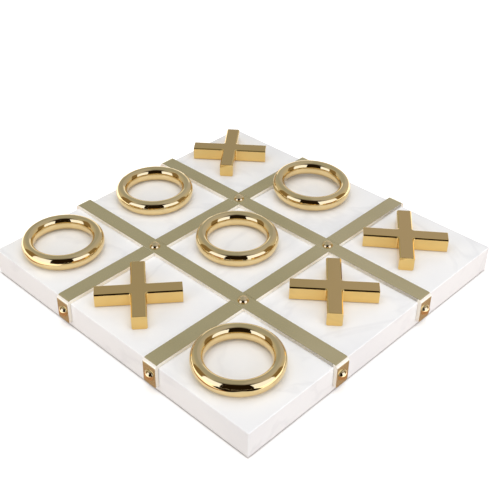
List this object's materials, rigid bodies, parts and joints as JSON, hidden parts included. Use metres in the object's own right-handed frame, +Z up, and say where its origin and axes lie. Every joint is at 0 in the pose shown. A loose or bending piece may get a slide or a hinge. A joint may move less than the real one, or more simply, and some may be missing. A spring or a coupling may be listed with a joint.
{
  "type": "tic-tac-toe board",
  "caption": "Square stone slab with a grid of brass straps screwed over it, and loose brass rings and crosses that lie in its cells.",
  "frame": {"origin": "middle of the underside, on the table", "axes": "+Z up; X and Y along the straps and the sides of the slab; the front is -Y"},
  "size_m": [0.3184, 0.3184, 0.0426],
  "materials": {
    "stone": "polished white marble with faint grey clouds",
    "felt": "black felt",
    "strap_brass": "polished",
    "screw_brass": "polished",
    "sleeve_brass": "turned",
    "piece_brass": "mirror polished"
  },
  "bodies": {
    "board": {"board_slab": "stone", "felt_backing": "felt", "strap_front": "strap_brass", "strap_back": "strap_brass", "strap_left": "strap_brass", "strap_right": "strap_brass", "crossing_screws": "screw_brass", "edge_screws": "screw_brass", "crossing_sleeves": "sleeve_brass", "edge_sleeves": "sleeve_brass"},
    "ring_front_left": {"ring_front_left": "piece_brass"},
    "ring_front_right": {"ring_front_right": "piece_brass"},
    "ring_middle_left": {"ring_middle_left": "piece_brass"},
    "ring_centre": {"ring_centre": "piece_brass"},
    "ring_back_middle": {"ring_back_middle": "piece_brass"},
    "cross_front_middle": {"cross_front_middle": "piece_brass"},
    "cross_middle_right": {"cross_middle_right": "piece_brass"},
    "cross_back_left": {"cross_back_left": "piece_brass"},
    "cross_back_right": {"cross_back_right": "piece_brass"}
  },
  "joints": [
    {"name": "ring_front_left_lift", "type": "slide", "parent": "board", "child": "ring_front_left", "axis": [0, 0, 1], "range_m": [0, 0.04]},
    {"name": "ring_front_right_lift", "type": "slide", "parent": "board", "child": "ring_front_right", "axis": [0, 0, 1], "range_m": [0, 0.04]},
    {"name": "ring_middle_left_lift", "type": "slide", "parent": "board", "child": "ring_middle_left", "axis": [0, 0, 1], "range_m": [0, 0.04]},
    {"name": "ring_centre_lift", "type": "slide", "parent": "board", "child": "ring_centre", "axis": [0, 0, 1], "range_m": [0, 0.04]},
    {"name": "ring_back_middle_lift", "type": "slide", "parent": "board", "child": "ring_back_middle", "axis": [0, 0, 1], "range_m": [0, 0.04]},
    {"name": "cross_front_middle_lift", "type": "slide", "parent": "board", "child": "cross_front_middle", "axis": [0, 0, 1], "range_m": [0, 0.04]},
    {"name": "cross_middle_right_lift", "type": "slide", "parent": "board", "child": "cross_middle_right", "axis": [0, 0, 1], "range_m": [0, 0.04]},
    {"name": "cross_back_left_lift", "type": "slide", "parent": "board", "child": "cross_back_left", "axis": [0, 0, 1], "range_m": [0, 0.04]},
    {"name": "cross_back_right_lift", "type": "slide", "parent": "board", "child": "cross_back_right", "axis": [0, 0, 1], "range_m": [0, 0.04]}
  ]
}
